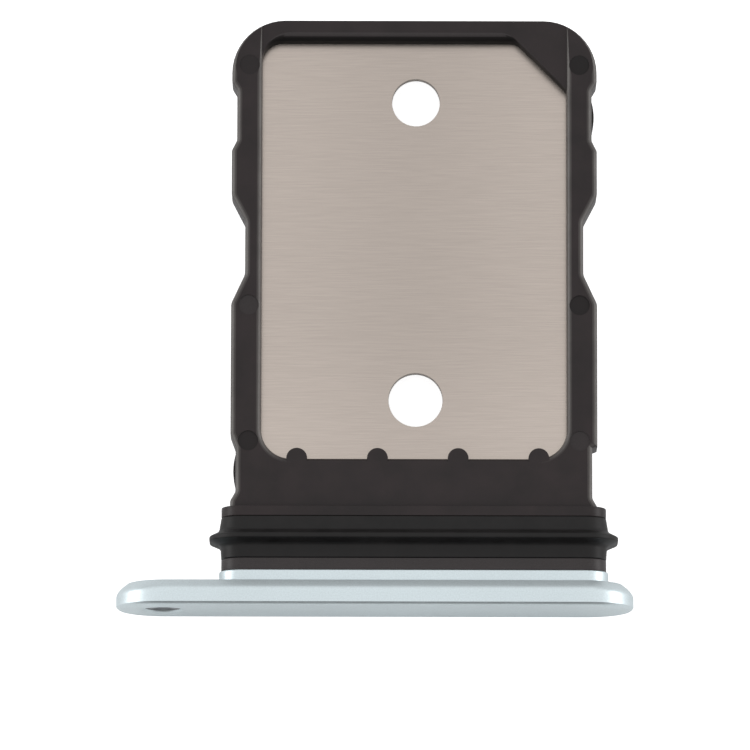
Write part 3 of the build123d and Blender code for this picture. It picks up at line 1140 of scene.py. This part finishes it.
@dataclass
class Studio:
    """The white table, the two softboxes, the sky light and the camera."""

    view_width: float = 22.29
    sensor_width: float = 36.0
    camera_distance: float = 250.0
    camera_clip: Pair = (0.005, 5.0)
    camera_lean: float = 9.5
    camera_roll: float = 0.13
    look_at: Triple = (-0.01, -1.8875, 2.0)
    box_size: Pair = (190.0, 80.0)
    box_distance: float = 170.0
    box_height: float = 42.0
    box_radiance: float = 2.8
    sky_top: float = 1.20
    sky_low: Pair = (0.08, 0.50)
    sky_depth: Pair = (-0.5, 0.7)
    sky_rise: Pair = (0.15, 0.80)
    sky_tilt: float = 0.25
    table_width: float = 3000.0
    table_thickness: float = 1.0
    table_tone: float = 0.86
    table_roughness: float = 0.9
    table_gloss: float = 0.1
    table_glow: float = 0.80
    table_mirrored: float = 0.05

    def camera(self) -> None:
        """Put the camera where the photograph was taken from."""
        data = bpy.data.cameras.new("camera")
        data.sensor_width = self.sensor_width
        data.lens = self.sensor_width * self.camera_distance / self.view_width
        data.clip_start, data.clip_end = self.camera_clip
        camera = link(bpy.data.objects.new("camera", data))
        lean, roll = math.radians(self.camera_lean), math.radians(self.camera_roll)
        back = Vector((0, -math.sin(lean), math.cos(lean))) * self.camera_distance
        camera.location = (Vector(self.look_at) + back) * METRE
        camera.rotation_euler = (Matrix.Rotation(lean, 4, "X") @ Matrix.Rotation(roll, 4, "Z")).to_euler()
        bpy.context.scene.camera = camera

    def softbox(self, side: int) -> None:
        """Stand one softbox on the left (-1) or the right (1)."""
        data = bpy.data.lights.new("softbox", "AREA")
        data.shape = "RECTANGLE"
        data.size, data.size_y = (size * METRE for size in self.box_size)
        data.energy = self.box_radiance * math.pi * data.size * data.size_y
        lamp = link(bpy.data.objects.new("softbox", data))
        lamp.location = Vector((side * self.box_distance, 0, self.box_height)) * METRE
        lamp.rotation_euler = (-lamp.location).to_track_quat("-Z", "Y").to_euler()
        lamp.visible_camera = False

    def sky(self) -> None:
        """Light everything softly from above, with less light from low behind and least from low in front."""
        world = bpy.data.worlds.new("studio_sky")
        bpy.context.scene.world = world
        world.use_nodes = True
        world.node_tree.nodes.clear()
        nodes = NodeTree(world.node_tree)
        direction = nodes.made("ShaderNodeTexCoord", output="Generated")
        parts = nodes.add("ShaderNodeSeparateXYZ", {"Vector": direction}).outputs
        low = nodes.spread(parts["Y"], self.sky_depth, self.sky_low, "SMOOTHSTEP")
        lift = nodes.maths("MULTIPLY_ADD", parts["Y"], self.sky_tilt, parts["Z"])
        level = nodes.spread(lift, self.sky_rise, (low, self.sky_top), "SMOOTHSTEP")
        glow = nodes.made("ShaderNodeBackground", {"Strength": level})
        white = nodes.made("ShaderNodeBackground", {"Strength": 1.0})
        seen = nodes.made("ShaderNodeLightPath", output="Is Camera Ray")
        mixed = nodes.made("ShaderNodeMixShader", {0: seen, 1: glow, 2: white})
        nodes.add("ShaderNodeOutputWorld", {"Surface": mixed})

    def table(self) -> None:
        """Lay the white table under the tray. It shows white to the eye, and keeps the tray's soft shadow."""
        top = stack("white_table", box_corners(0, 0, self.table_width, self.table_width, 0),
                    [(-self.table_thickness, 0.0), (0.0, 0.0)])
        top.data.transform(Matrix.Scale(METRE, 4))
        material = bpy.data.materials.new("white_table")
        material.use_nodes = True
        nodes = NodeTree(material.node_tree)
        rays = nodes.add("ShaderNodeLightPath").outputs
        seen = nodes.maths("MAXIMUM", rays["Is Camera Ray"], rays["Is Transmission Ray"])
        mirrored = nodes.maths("MULTIPLY", rays["Is Glossy Ray"], self.table_mirrored)
        glow = nodes.maths("MULTIPLY_ADD", seen, self.table_glow, mirrored)
        nodes.feed(material.node_tree.nodes["Principled BSDF"], {
            "Base Color": (*(self.table_tone,) * 3, 1.0), "Roughness": self.table_roughness,
            "Specular IOR Level": self.table_gloss, "Emission Color": (1.0,) * 4, "Emission Strength": glow,
        })
        top.data.materials.append(material)

    def build(self) -> None:
        """Set up the whole studio."""
        self.camera()
        for side in (-1, 1):
            self.softbox(side)
        self.sky()
        self.table()
        bpy.context.scene.view_settings.view_transform = "Standard"
        LOG.info("studio ready")


def main() -> None:
    """Build the studio and each piece in order."""
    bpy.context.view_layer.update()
    plan = TrayPlan()
    Studio().build()
    FaceCap(plan).build(BlastedAnodising().build())
    CarrierFrame(plan).build(MouldedPlastic().build())
    CardPlate(plan).build(BrushedSteel().build())
    SealRing(plan).build(MouldedRubber().build())


if __name__ == "__main__":
    main()
